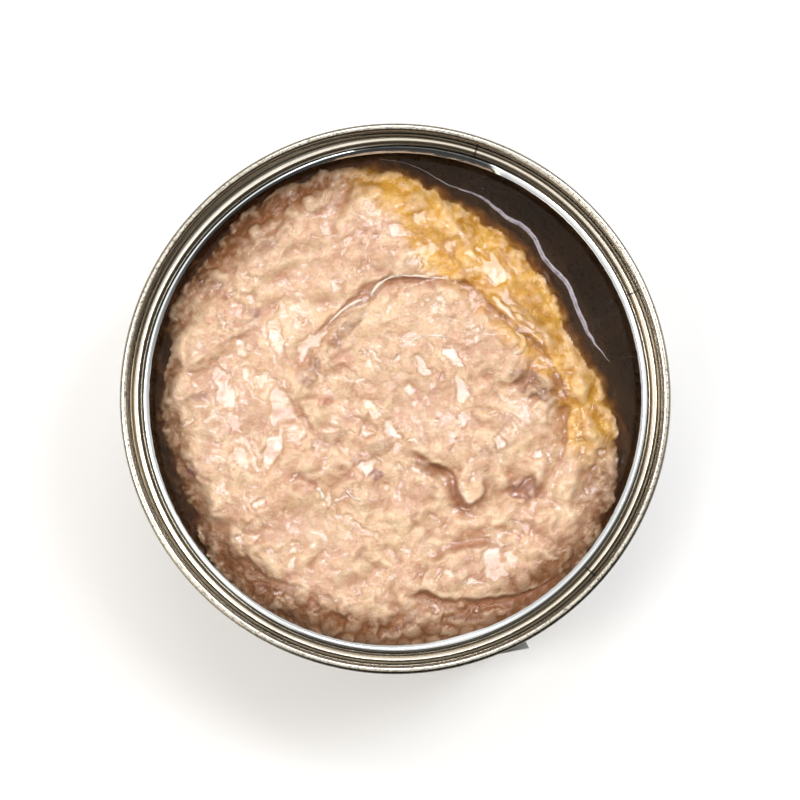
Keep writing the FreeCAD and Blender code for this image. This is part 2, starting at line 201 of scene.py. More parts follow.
# Wet faces that mirror a lamp: x and y, half axes, turn, then the azimuth and slope of the face, in degrees
KEY, LEFT, TOP = (38, 15), (186, 11), (92, 13)
FAT_FACE = (15.8, 21.1, 2.4, 0.95, -64, KEY)  # on the yellow fat, the only one with crisp edges
FACES = (
    (-27.3, 0.8, 3.3, 1, -74, LEFT), (-25.5, -5, 2.7, 0.8, -70, LEFT), (-20.2, 1.6, 2.2, 1.3, -35, LEFT),
    (-18, -2.4, 4, 1.3, -66, LEFT), (-16.6, -6, 1.9, 0.65, -80, LEFT), (-19.5, -8.3, 3, 0.7, -108, LEFT),
    (-19, 9.8, 2.3, 0.65, -82, LEFT), (-23.8, 2.9, 1.3, 0.65, -60, LEFT),
    (-23.8, -8.8, 2.6, 0.6, -62, LEFT), (-24.6, 8, 1.3, 0.6, -50, LEFT), (-12.7, 9.7, 3.3, 0.75, 42, LEFT),
    (-6.9, 14.7, 2.6, 0.42, 30, TOP), (4.3, 5.3, 1.7, 0.6, -68, KEY), (9.4, 6.4, 1.6, 0.7, -60, KEY),
    (10.5, 1.8, 2.3, 0.55, -80, KEY), (11, -3.2, 1.1, 0.45, -75, KEY), (-3.7, -1.8, 1.5, 0.7, -40, LEFT),
    (-3.5, 7, 0.9, 0.5, -60, LEFT), (12.3, 10.6, 1.2, 0.65, 20, KEY), (16.4, -6.7, 1, 0.55, -60, KEY),
    (-0.6, -5.2, 1.3, 0.55, -60, KEY), (-4.4, -10.8, 1.4, 0.65, 30, LEFT), (2.4, 1.5, 1, 0.4, -60, KEY),
    FAT_FACE, (13.7, 23.8, 0.8, 0.3, -40, KEY), (18.6, 13.6, 3.6, 0.45, -42, KEY),
    (22.3, 10.2, 2.4, 0.3, -45, KEY), (-21.9, -16.7, 1.1, 0.6, 20, LEFT),
    (-10.6, -16.6, 2.3, 0.5, -80, LEFT), (-6.3, -20.6, 3.4, 0.38, -28, TOP),
    (-15.9, -24, 0.75, 0.6, 0, TOP), (15.7, -26.6, 2.5, 1.25, -80, KEY), (18.9, -26.3, 1.7, 0.8, -74, KEY),
    (13, -29.4, 1.4, 0.35, 20, KEY), (21, -13.6, 0.8, 0.3, 40, KEY), (19, -15.4, 0.7, 0.25, -20, KEY),
    (24.6, -9.6, 1.2, 0.3, -75, KEY), (-31, 19.2, 1, 0.35, 60, TOP), (-4.6, -5.2, 1.2, 0.35, -35, LEFT),
    (-27.9, 12, 1.3, 0.35, -55, TOP), (20, -20.2, 1.5, 0.45, -20, KEY), (-24.5, -9.6, 1.5, 0.55, -60, LEFT),
    (1, -11.2, 1.1, 0.35, -50, KEY), (-33.6, -3.8, 1, 0.3, 40, LEFT),
)


def rng(name):
    """A random generator of its own for each use, so that one more use changes no other."""
    return np.random.default_rng(sum(ord(c) * (i + 1) for i, c in enumerate(name)))


# ---- noise on arrays
def chance(ix, iy, seed):
    """A fixed pseudo-random number from 0 to 1 for each lattice point."""
    h = (ix.astype(np.int64) * 374761393 + iy.astype(np.int64) * 668265263 + seed * 974634777) & 0xFFFFFFFF
    h = ((h ^ (h >> 13)) * 1274126177) & 0xFFFFFFFF
    return ((h ^ (h >> 16)) & 0xFFFFFF) / 0xFFFFFF


def noise(x, y, seed):
    """Gradient noise, about -1 to 1, with features one unit wide."""
    ix, iy = np.floor(x), np.floor(y)
    fx, fy = x - ix, y - iy

    def corner(dx, dy):
        angle = 2 * np.pi * chance(ix + dx, iy + dy, seed)
        return np.cos(angle) * (fx - dx) + np.sin(angle) * (fy - dy)

    u = fx * fx * fx * (fx * (fx * 6 - 15) + 10)
    v = fy * fy * fy * (fy * (fy * 6 - 15) + 10)
    low = corner(0, 0) * (1 - u) + corner(1, 0) * u
    high = corner(0, 1) * (1 - u) + corner(1, 1) * u
    return 1.5 * (low * (1 - v) + high * v)


def layered(x, y, size, seed, layers=4, gain=0.5):
    """Noise of several sizes, each half the one before."""
    total, strength, norm = 0, 1, 0
    for k in range(layers):
        turn = 0.7 * k + seed
        c, s = math.cos(turn), math.sin(turn)
        total = total + strength * noise((x * c - y * s) / size, (x * s + y * c) / size, seed + 17 * k)
        norm += strength
        strength *= gain
        size /= 2
    return total / norm


def cells(x, y, size, seed):
    """Distance to the nearest and second nearest scattered point, in sizes, and a number for the nearest."""
    gx, gy = x / size, y / size
    ix, iy = np.floor(gx), np.floor(gy)
    first = np.full(x.shape, 9.0)
    second = np.full(x.shape, 9.0)
    tag = np.zeros(x.shape)
    for dx in (-1, 0, 1):
        for dy in (-1, 0, 1):
            cx, cy = ix + dx, iy + dy
            px = cx + 0.5 + 0.9 * (chance(cx, cy, seed) - 0.5)
            py = cy + 0.5 + 0.9 * (chance(cx, cy, seed + 1) - 0.5)
            d = np.hypot(px - gx, py - gy)
            nearer = d < first
            second = np.where(nearer, first, np.minimum(second, d))
            tag = np.where(nearer, chance(cx, cy, seed + 2), tag)
            first = np.where(nearer, d, first)
    return first, second, tag


def ramp(t):
    """Smooth rise from 0 to 1."""
    t = np.clip(t, 0, 1)
    return t * t * (3 - 2 * t)


def curve_through(points, steps=5):
    """Points of a smooth curve through the given ones."""
    p = np.array(points, float)
    padded = np.vstack([2 * p[0] - p[1], p, 2 * p[-1] - p[-2]])
    out = []
    for a, b, c, d in zip(padded, padded[1:], padded[2:], padded[3:]):
        for k in range(steps):
            t = k / steps
            out.append(0.5 * (2 * b + (c - a) * t + (2 * a - 5 * b + 4 * c - d) * t**2
                              + (3 * b - a - 3 * c + d) * t**3))
    out.append(p[-1])
    return np.array(out)


def along_curve(x, y, points):
    """Signed distance to the curve, positive on its left, and the place along it from 0 to 1."""
    best = np.full(x.shape, 1e9)
    side = np.zeros(x.shape)
    place = np.zeros(x.shape)
    count = len(points) - 1
    for i in range(count):
        a, b = points[i], points[i + 1]
        d = b - a
        t = np.clip(((x - a[0]) * d[0] + (y - a[1]) * d[1]) / (d @ d), 0, 1)
        ex, ey = x - a[0] - t * d[0], y - a[1] - t * d[1]
        dist = np.hypot(ex, ey)
        nearer = dist < best
        best = np.where(nearer, dist, best)
        side = np.where(nearer, np.sign(d[0] * ey - d[1] * ex), side)
        place = np.where(nearer, (i + t) / count, place)
    return best * side, place


def bell(t):
    return np.exp(-(t**2))


def faded(along, share):
    """0 at both ends of a line and 1 between, rising over a share of its length."""
    return ramp(along / share) * ramp((1 - along) / share)


def warped(x, y, by, size, seed, layers=3, gain=0.5):
    """x and y, each moved by a noise of its own."""
    return (x + by * layered(x, y, size, seed, layers, gain),
            y + by * layered(x, y, size, seed + 1, layers, gain))


def sideways(line):
    """Unit vectors square to a line, on its left."""
    steps = np.gradient(line, axis=0)
    steps /= np.hypot(*steps.T)[:, None]
    return np.stack([-steps[:, 1], steps[:, 0]], 1)


def in_patch(x, y, cx, cy, long, short, turn, square=2):
    """1 inside a patch and 0 outside, with a soft edge. It is an oval, or boxier when square is over 2."""
    c, s = math.cos(math.radians(turn)), math.sin(math.radians(turn))
    along = ((x - cx) * c + (y - cy) * s) / long
    across = ((y - cy) * c - (x - cx) * s) / short
    away = (np.abs(along) ** square + np.abs(across) ** square) ** (1 / square)
    return ramp(1.6 * (1.25 - away))


def blurred(field, sigma):
    """Gaussian blur of a square array, sigma in cells."""
    reach = int(3 * sigma + 1)
    kernel = np.exp(-0.5 * (np.arange(-reach, reach + 1) / sigma) ** 2)
    kernel /= kernel.sum()
    for axis in (0, 1):
        field = np.moveaxis(field, axis, 0)
        padded = np.concatenate([np.repeat(field[:1], reach, 0), field, np.repeat(field[-1:], reach, 0)])
        field = sum(k * padded[i:i + len(field)] for i, k in enumerate(kernel))
        field = np.moveaxis(field, 0, axis)
    return field


# ---- meshes
def tube_faces(sides, n, start=0):
    """Faces of a closed tube, whose points are its long lines of n points, one side after the other."""
    faces = []
    for i in range(sides):
        a, b = start + i * n, start + (i + 1) % sides * n
        faces += [(a + m, b + m, b + m + 1, a + m + 1) for m in range(n - 1)]
    ends = [start + i * n for i in range(sides)]
    return faces + [ends[::-1], [a + n - 1 for a in ends]]


def placed(name, data):
    thing = bpy.data.objects.new(name, data)
    bpy.context.scene.collection.objects.link(thing)
    return thing


def make_piece(name, points, faces, material):
    """A smooth mesh that rides on the part's only body."""
    mesh = bpy.data.meshes.new(name)
    mesh.from_pydata([tuple(p) for p in points], [], faces)
    mesh.update()
    mesh.polygons.foreach_set("use_smooth", [True] * len(mesh.polygons))
    mesh.materials.append(material)
    piece = placed(name, mesh)
    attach(piece, "root")
    return piece


def set_field(piece, name, values):
    """A value for each vertex, which the material reads by name."""
    layer = piece.data.attributes.new(name, "FLOAT", "POINT")
    layer.data.foreach_set("value", np.asarray(values, np.float32).ravel())


def disc_grid(radius, spans):
    """x and y of a square grid bent into a disc, so that its edge is the circle."""
    u, v = np.meshgrid(np.linspace(-1, 1, spans + 1), np.linspace(-1, 1, spans + 1), indexing="ij")
    return radius * u * np.sqrt(1 - v * v / 2), radius * v * np.sqrt(1 - u * u / 2)


def grid_faces(n):
    """Faces of a square grid with n points a side."""
    i, j = np.meshgrid(np.arange(n - 1), np.arange(n - 1), indexing="ij")
    a = (i * n + j).ravel()
    return np.stack([a, a + n, a + n + 1, a + 1], 1).tolist()


def closed_below(x, y, z, skirt):
    """Points and faces of a solid: the gridded top, and rings of (share of the radius, height) below it."""
    n = x.shape[0]
    top = np.stack([x, y, z], -1).reshape(-1, 3)
    edge = [(i, 0) for i in range(n)] + [(n - 1, j) for j in range(1, n)]
    edge += [(i, n - 1) for i in range(n - 2, -1, -1)] + [(0, j) for j in range(n - 2, 0, -1)]
    upper = [i * n + j for i, j in edge]
    count = len(upper)
    rim = top[upper]
    points = [top]
    faces = grid_faces(n)
    for k, (share, height) in enumerate(skirt):
        points.append(np.column_stack([rim[:, 0] * share, rim[:, 1] * share, np.full(count, height)]))
        lower = [n * n + k * count + i for i in range(count)]
        for i in range(count):
            j = (i + 1) % count
            faces.append([lower[i], lower[j], upper[j], upper[i]])
        upper = lower
    faces.append(upper)
    return np.vstack(points), faces


# ---- the torn end
PLATE = 0.24
HOOK = 1.95
SEAM = 2.9
LAYERS = 0.52  # from the middle of the skirt to that of the hook, and on to the chuck wall's
COUNTERSINK = 4.2
COUNTERSINK_WIDTH = 0.9
CHUCK_LEAN, PANEL_LEAN = 0.72, 0.8  # how far the walls beside the countersink lean in
PANEL_RISE, LIP_RISE = 2.15, 1.66  # over the countersink's floor
HOOK_BEND, CROWN_BEND, WALL_BEND, LIP_BEND = 0.26, 0.437, 0.5, 0.55
tear_radius = mouth_radius / MM + PLATE / 2
END_SEGMENTS = 480
TEAR_START, TEAR_SPAN, TEAR_SAG = 65, 54, 0.62  # degrees from +X, degrees, mm
NICKS = (24, 72, -41.5)  # dark nicks across the countersink, in degrees
# Where the countersink's walls and the torn edge are out of true: at, how wide in degrees, how far in mm
DENTS = ((128, 28, -0.36), (68, 30, 0.16), (268, 40, 0.16), (205, 30, -0.08))
TORN = ((54, 20, 0.14), (228, 34, 0.16), (286, 7, -0.16), (262, 12, 0.08))


def sheet_section(path, thickness):
    """The closed section of a bent sheet, in mm, whose middle follows corners (r, z, bend radius)."""
    sides = ([], [])
    p = [np.array(q[:2], float) for q in path]

    def unit(v):
        return v / np.hypot(*v)

    def left(v):
        return np.array((-v[1], v[0]))

    for sign, side in zip((1, -1), sides):
        off = sign * thickness / 2
        side.append(p[0] + left(unit(p[1] - p[0])) * off)
        for k in range(1, len(p) - 1):
            u, v = unit(p[k] - p[k - 1]), unit(p[k + 1] - p[k])
            turn = math.atan2(u[0] * v[1] - u[1] * v[0], u @ v)
            way = math.copysign(1, turn)
            radius = path[k][2]
            centre = p[k] - u * radius * math.tan(abs(turn) / 2) + left(u) * way * radius
            steps = max(3, int(abs(turn) / math.radians(9)))
            start = math.atan2(*(-left(u) * way)[::-1])
            for i in range(steps + 1):
                a = start + turn * i / steps
                side.append(centre + np.array((math.cos(a), math.sin(a))) * (radius - way * off))
        side.append(p[-1] + left(unit(p[-1] - p[-2])) * off)
    return np.array(sides[0] + sides[1][::-1])


def end_section():
    """Cover hook, skirt, crown, chuck wall, countersink, panel wall and torn lip, as in the CAD model."""
    top = crown_top / MM
    skirt = seam_radius / MM - PLATE / 2
    hook = skirt - LAYERS
    chuck = hook - LAYERS
    low = top - SEAM + PLATE / 2
    sink = top - COUNTERSINK - PLATE / 2
    outer = chuck - CHUCK_LEAN
    inner = outer - COUNTERSINK_WIDTH
    panel = inner - PANEL_LEAN
    crown = top - PLATE / 2
    return sheet_section([
        (hook, low + HOOK, 0), (hook, low, HOOK_BEND), (skirt, low, HOOK_BEND), (skirt, crown, CROWN_BEND),
        (chuck, crown, CROWN_BEND), (chuck, low + PLATE / 2, WALL_BEND), (outer, sink, WALL_BEND),
        (inner, sink, WALL_BEND), (panel, sink + PANEL_RISE, LIP_BEND),
        (tear_radius, sink + LIP_RISE, 0)], PLATE)


def make_end(material):
    """The end's section turned about Z, out of true, and ragged and bent down where it is torn."""
    section = end_section()
    angle = np.linspace(0, 2 * np.pi, END_SEGMENTS, endpoint=False)[:, None]
    r, z = (np.repeat(section[None, :, k], END_SEGMENTS, 0) for k in (0, 1))
    ax, ay = 8 * np.cos(angle), 8 * np.sin(angle)
    at_edge = np.clip(1 - (r - tear_radius) / 0.25, 0, 1)
    burr = 0.05 * noise(ax * 4, ay * 4, 201) + 0.03 * noise(ax * 13, ay * 13, 202)
    sag = 0.03 * noise(ax * 0.3, ay * 0.3, 203) * ramp((41.5 - r) / 1.5)
    turn = np.degrees(angle)
    dent, torn = (sum(by * bell((turn - at) / wide) for at, wide, by in places) for places in (DENTS, TORN))
    push = dent * ramp((41.9 - r) / 0.5) * np.clip((r - 38.9) / 1.2, 0, 1) + torn * np.clip(40 - r, 0, 1)
    bent = ramp((turn - TEAR_START) / 2) * ramp((TEAR_START + TEAR_SPAN - turn) / 26)
    sag = sag - TEAR_SAG * bent * np.clip((40 - r) / 1.1, 0, 1)
    r, z = r + at_edge * (burr + 0.04) + push, z + at_edge * 0.5 * burr + sag
    points = np.stack([r * np.cos(angle), r * np.sin(angle), z], -1).reshape(-1, 3) * MM
    count = section.shape[0]
    faces = []
    for i in range(END_SEGMENTS):
        here, there = i * count, (i + 1) % END_SEGMENTS * count
        for j in range(count):
            k = (j + 1) % count
            faces.append((here + j, here + k, there + k, there + j))
    piece = make_piece("torn_end", points, faces, material)
    piece.data.set_sharp_from_angle(angle=math.radians(35))
    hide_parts("end_ring")


# ---- the meat's surface
def cad_heights(x, y):
    """Height of the CAD meat under each point, in metres."""
    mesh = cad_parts["meat"].data
    tree = BVHTree.FromPolygons([v.co for v in mesh.vertices], [p.vertices for p in mesh.polygons])
    start = meat_high.z + 10 * MM
    down = Vector((0, 0, -1))
    shrink = 0.9985
    z = np.empty(x.size)
    for k, (px, py) in enumerate(zip(x.ravel() * shrink, y.ravel() * shrink)):
        hit = tree.ray_cast(Vector((px, py, start)), down)[0]
        z[k] = hit.z if hit else broth_level
    return z.reshape(x.shape)


def creased(x, y, height):
    """The height with the named creases and folds in it, and how much painted shade each point gets: down in
    a crease, or on the low side of a fold.
    """
    crease_shade = np.zeros(x.shape)
    wx, wy = warped(x, y, 0.75, 3, 5, 4, 0.6)
    for k, (points, depth, width, over) in enumerate(CREASES):
        s, t = along_curve(wx, wy, curve_through(points))
        ends = faded(t, 0.18)
        vary = np.clip(0.75 + 0.9 * layered(x, y, 5, 300 + k, 2), 0.15, 1.5)
        w = width * np.clip(0.9 + 0.8 * layered(x, y, 3.2, 330 + k, 2), 0.5, 1.6)
        cut = bell(s / w) * ends * vary
        fold = ends * np.sign(s) * np.exp(-np.abs(s) / 2.4) * (1 - bell(s / (0.8 * w)))
        height = height - depth * cut + 0.6 * over * fold
        into = -s if over > 0 else s
        # Painted shade on the low side of a fold, beside the crease.
        lee_shade = bell((into - 0.5) / 1.1) * (into > -0.2) * ends * vary
        crease_shade = np.maximum(crease_shade, np.maximum(cut * depth, 0.8 * abs(over) * lee_shade))
    return height, crease_shade


def domes(x, y, size, seed, sharp=1.6):
    """Rounded lumps that meet in creases, each with a height of its own."""
    near, _, tag = cells(x, y, size, seed)
    return (0.3 + 0.7 * tag) * np.clip(1 - near**2 * sharp, -0.3, 1)


def relief(x, y, smooth):
    """Unevenness of minced meat: lumps, grains, soft swells, and seams where chunks meet."""
    wx = x + 1.8 * layered(x, y, 5, 13, 3) + 0.6 * layered(x, y, 1.4, 11, 3)
    wy = y + 1.8 * layered(x, y, 5, 14, 3) + 0.6 * layered(x, y, 1.4, 12, 3)
    rough = 1 - 0.75 * smooth
    patchy = np.clip(0.55 + 1.3 * layered(x, y, 5, 15, 3), 0.1, 1.25)
    chunks = 1.35 * domes(wx, wy, 5.2, 19, 1.3)
    lumps = 0.78 * domes(wx, wy, 2.4, 21)
    grains = 0.32 * domes(wx + 0.3 * chunks, wy, 1.25, 31) + 0.12 * domes(wx, wy + 0.3 * lumps, 0.72, 41)
    edge = ramp((np.hypot(x, y) - 30) / 6)
    lumps = lumps * (1 + 0.5 * edge)
    swells = 0.75 * layered(x, y, 7, 51, 3) + 0.4 * layered(x, y, 2.8, 61, 4, 0.6)
    named = np.zeros(x.shape)
    for *patch, rise in LUMPS:
        named = named + 1.35 * rise * in_patch(wx * 0.5 + x * 0.5, wy * 0.5 + y * 0.5, *patch) ** 0.7
    for points, rise, half in RIDGES:
        aside, along = along_curve(wx * 0.4 + x * 0.6, wy * 0.4 + y * 0.6, curve_through(points))
        named = named + rise * bell(aside / half) * faded(along, 0.15)
    wipes = 0.42 * layered(x, y, 2.6, 76, 3)
    near, far, _ = cells(wx, wy, 4.2, 71)
    parted = ramp(2.2 * layered(x, y, 6, 77, 2) + 0.35)
    seam = bell((far - near) / 0.1) * parted * (1 - 0.6 * smooth)
    height = blurred(named - 0.55 * seam + swells * (0.5 + 0.5 * rough) + chunks * (0.12 + 0.68 * rough)
                     - 0.45 + rough * patchy * (lumps + grains - 0.36) + smooth * wipes, 0.9)
    return height, blurred(seam, 0.8)


def wet_faces():
    """The named wet faces, and small ones strewn between them."""
    random = rng("faces")
    faces = list(FACES)
    for k in range(STREWN_FACES):
        r, a = 36.5 * math.sqrt(random.uniform(0, 1)), random.uniform(0, 2 * math.pi)
        x, y = r * math.cos(a), r * math.sin(a)
        long = random.uniform(0.22, 0.8)
        short = long * random.uniform(0.2, 0.5)
        lamp = LEFT if x < -5 else TOP if y > 9 else KEY
        faces.append((x, y, long, short, random.normal(-70, 35), lamp))
    return faces


def face_masks(x, y):
    """Each wet face, and how much each point belongs to it."""
    sway_x = layered(x, y, 2.4, 401, 4, 0.5)
    sway_y = layered(x, y, 2.4, 402, 4, 0.5)
    for face in wet_faces():
        cx, cy, long, short, turn, _ = face
        sway = 0.4 if face is FAT_FACE else 1.5
        inside = in_patch(x + sway * sway_x, y + sway * sway_y, cx, cy, long * 1.2, short * 1.5, turn, 4)
        inside = ramp(2.4 * inside)
        if (inside > 0.5).any():
            yield face, inside


def edged(x, y, height):
    """Brings the meat's edge out to its reach, and lets it drop steeply into the broth beyond."""
    turns, reaches = np.array(REACH).T
    r = np.hypot(x, y)
    reach = np.interp(np.degrees(np.arctan2(y, x)), turns, reaches)
    reach = reach - 0.4 + 1.2 * layered(x, y, 3.4, 95, 2) * ramp((reach + 3.2 - r) / 3)
    inside = reach - r
    ragged = inside + 0.5 * layered(x, y, 1, 96, 3)
    level = broth_level / MM
    bank = level + 1.7 * (1 - np.exp(-np.clip(ragged, 0, None) / 1.1)) - 0.5
    lifted = np.maximum(height, bank + 0.35 * layered(x, y, 1.5, 97, 3))
    height = np.where(inside > 0, lifted, height)
    shoulder = level + 0.2 + 3.6 * (1 - np.exp(-np.clip(40.2 - r, 0, None) / 4.2))
    height = np.minimum(height, shoulder + 0.7 * domes(x, y, 2.4, 98) - 0.2)
    fall = level - 0.5 - 1.2 * np.clip(-inside, 0, None)
    height = np.where(inside < 0, np.minimum(height, fall), height)
    below = ramp((-inside - 0.5) / 2)
    height = height * (1 - below) + fall * below
    return np.maximum(height, meat_low.z / MM + 14)


def meat_surface():
    """Grids of the surface's x, y and height in mm, and of what its material needs to know."""
    x, y = disc_grid(food_radius, MEAT_SPANS)
    base = blurred(cad_heights(x, y), 3) / MM
    mx, my = x / MM, y / MM
    smooth = np.zeros(x.shape)
    wx, wy = warped(mx, my, 1.6, 4, 81)
    for patch in SMOOTH:
        smooth = np.maximum(smooth, in_patch(wx, wy, *patch))
    height, crease_shade = creased(mx, my, base)
    r = np.hypot(mx, my)
    rim = ramp((r - 40.2) / 2)
    unevenness, seam = relief(mx, my, smooth)
    height = height + unevenness * (1 - 0.6 * rim)
    # Painted shade along the seams between chunks as well.
    crease_shade = np.maximum(crease_shade, 0.5 * seam)
    height = edged(mx, my, height)
    shine = np.zeros(x.shape)
    for _, inside in face_masks(mx, my):
        shine = np.maximum(shine, inside)
    wide = ramp(1.5 * blurred(shine, 1.5))
    calm = blurred(height, 3)
    height = height * (1 - wide) + (calm - 0.14 + 0.28 * (height - calm)) * wide
    height = np.minimum(height, MEAT_TOP)
    hollow = (blurred(height, 2) - height) / 0.3 + 0.6 * (blurred(height, 8) - height) / 0.7
    return {"x": mx, "y": my, "z": height, "crease_shade": crease_shade, "smooth": smooth, "shine": shine, "hollow": hollow}


def patch_amount(x, y, spots):
    wx, wy = warped(x, y, 0.7, 1.6, 601)
    amount = np.zeros(x.shape)
    for *patch, strength in spots:
        amount = np.maximum(amount, strength * ramp(1.7 * in_patch(wx, wy, *patch)))
    return amount


def food_fields(x, y, z):
    """Depth under the broth in mm, how fatty the meat is, its purple and red stains, and painted shade in a
    darker, browner colour: in the named patches, at the meat's edge by the wall, and on meat that lies low
    by the broth.
    """
    level = broth_level / MM
    depth = np.clip(level - z, 0, None)
    side, _ = along_curve(x, y, curve_through(FAT_EDGE))
    ragged = side + 2.8 * layered(x, y, 4.5, 91, 4, 0.6)
    fat = ramp((ragged + 2) / 3.2) * ramp((y + 13) / 9) * ramp((x + 13) / 9)
    r = np.hypot(x, y)
    angle = np.degrees(np.arctan2(y, x))
    low_side = ramp((angle + 160) / 25) * ramp((-25 - angle) / 25)
    back_side = ramp((angle - 95) / 20) * ramp((165 - angle) / 25)
    # Painted shade: browner where the meat nears the wall, on the front side and the upper left.
    rim = ramp((r - 32.6 + 1.5 * layered(x, y, 2.5, 93, 3)) / 4.6) * np.maximum(low_side, 1.2 * back_side)
    # Painted shade: browner on meat that lies within about 2.6 mm over the broth.
    low_shade = ramp((level + 2.6 + 0.8 * layered(x, y, 2.2, 94, 3) - z) / 2.2) * (1 - fat)
    brown_shade = np.maximum(np.maximum(patch_amount(x, y, BROWN_SHADE_PATCHES), 1.3 * rim), low_shade)
    return {"depth": depth, "fat": fat, "brown_shade": brown_shade, "purple": patch_amount(x, y, PURPLE),
            "red": patch_amount(x, y, RED)}


# ---- materials
def colour(red, green, blue):
    """A colour from its 0 to 255 screen values."""
    def linear(c):
        c /= 255
        return c / 12.92 if c <= 0.04045 else ((c + 0.055) / 1.055) ** 2.4
    return (linear(red), linear(green), linear(blue), 1)


class Tree:
    """The node tree of a material or a world, with short ways to add and join nodes."""

    def __init__(self, owner, kind="Material"):
        self.owner = owner
        owner.use_nodes = True
        self.nodes = owner.node_tree.nodes
        self.links = owner.node_tree.links
        self.nodes.clear()
        self.out = self.nodes.new("ShaderNodeOutput" + kind)

    def add(self, kind, **values):
        """A node; what it has no property for goes to its sockets."""
        node = self.nodes.new("ShaderNode" + kind)
        for key, value in values.items():
            if hasattr(node, key):
                setattr(node, key, value)
            else:
                self.put(node, key.replace("_", " "), value)
        return node

    def put(self, node, socket, value):
        target = node.inputs[socket]
        if isinstance(value, bpy.types.NodeSocket):
            self.links.new(value, target)
        else:
            target.default_value = value

    def math(self, operation, *values):
        node = self.add("Math", operation=operation)
        for k, value in enumerate(values):
            self.put(node, k, value)
        return node.outputs[0]

    def times(self, first, *others):
        for other in others:
            first = self.math("MULTIPLY", first, other)
        return first

    def plus(self, first, *others):
        for other in others:
            first = self.math("ADD", first, other)
        return first

    def distance(self, x, y):
        return self.math("SQRT", self.plus(self.times(x, x), self.times(y, y)))

    def mix(self, share, a, b, blend="MIX"):
        node = self.add("Mix", data_type="RGBA", blend_type=blend)
        for socket, value in ((0, share), (6, a), (7, b)):
            self.put(node, socket, value)
        return node.outputs[2]

    def paint(self, base, over, *shares):
        """Base with a colour, in 0 to 255 screen values, laid over it by the product of the shares."""
        return self.mix(self.times(*shares), base, colour(*over))

    def scale(self, value, low, high, to_low=0, to_high=1, kind="LINEAR"):
        node = self.add("MapRange", interpolation_type=kind)
        for k, v in enumerate((value, low, high, to_low, to_high)):
            self.put(node, k, v)
        return node.outputs[0]

    def place(self):
        return self.add("TexCoord").outputs["Object"]

    def noise(self, size, detail=3, rough=0.5, distortion=0, vector=None):
        """Noise with features about size metres wide."""
        node = self.add("TexNoise", Vector=vector or self.place(), Scale=1 / size, Detail=detail,
                        Roughness=rough, Distortion=distortion)
        return node.outputs["Fac"]

    def field(self, name):
        return self.add("Attribute", attribute_name=name).outputs["Fac"]

    def bump(self, height, depth):
        """depth is in metres for a height of 0 to 1."""
        return self.add("Bump", Height=height, Distance=depth, Strength=1).outputs[0]

    def principled(self, **values):
        """Ends the tree in a principled surface."""
        self.put(self.out, 0, self.add("BsdfPrincipled", **values).outputs[0])
        return self.owner

    def either(self, share, first, second):
        """Ends the tree in a mix of two shaders."""
        mix = self.add("MixShader")
        for socket, value in enumerate((share, first.outputs[0], second.outputs[0])):
            self.put(mix, socket, value)
        self.put(self.out, 0, mix.outputs[0])
        return self.owner

    def clear_coat(self, through, mirrored, roughness, head_on, **bumps):
        """Ends the tree in a clear surface, which mirrors a share head_on and more aslant."""
        steep = self.math("POWER", self.add("LayerWeight", Blend=0.5).outputs["Facing"], 5)
        share = self.plus(self.times(steep, 1 - head_on), head_on)
        return self.either(share, self.add("BsdfTransparent", Color=through),
                           self.add("BsdfGlossy", Color=mirrored, Roughness=roughness, **bumps))


def material_tree(name):
    return Tree(bpy.data.materials.new(name))


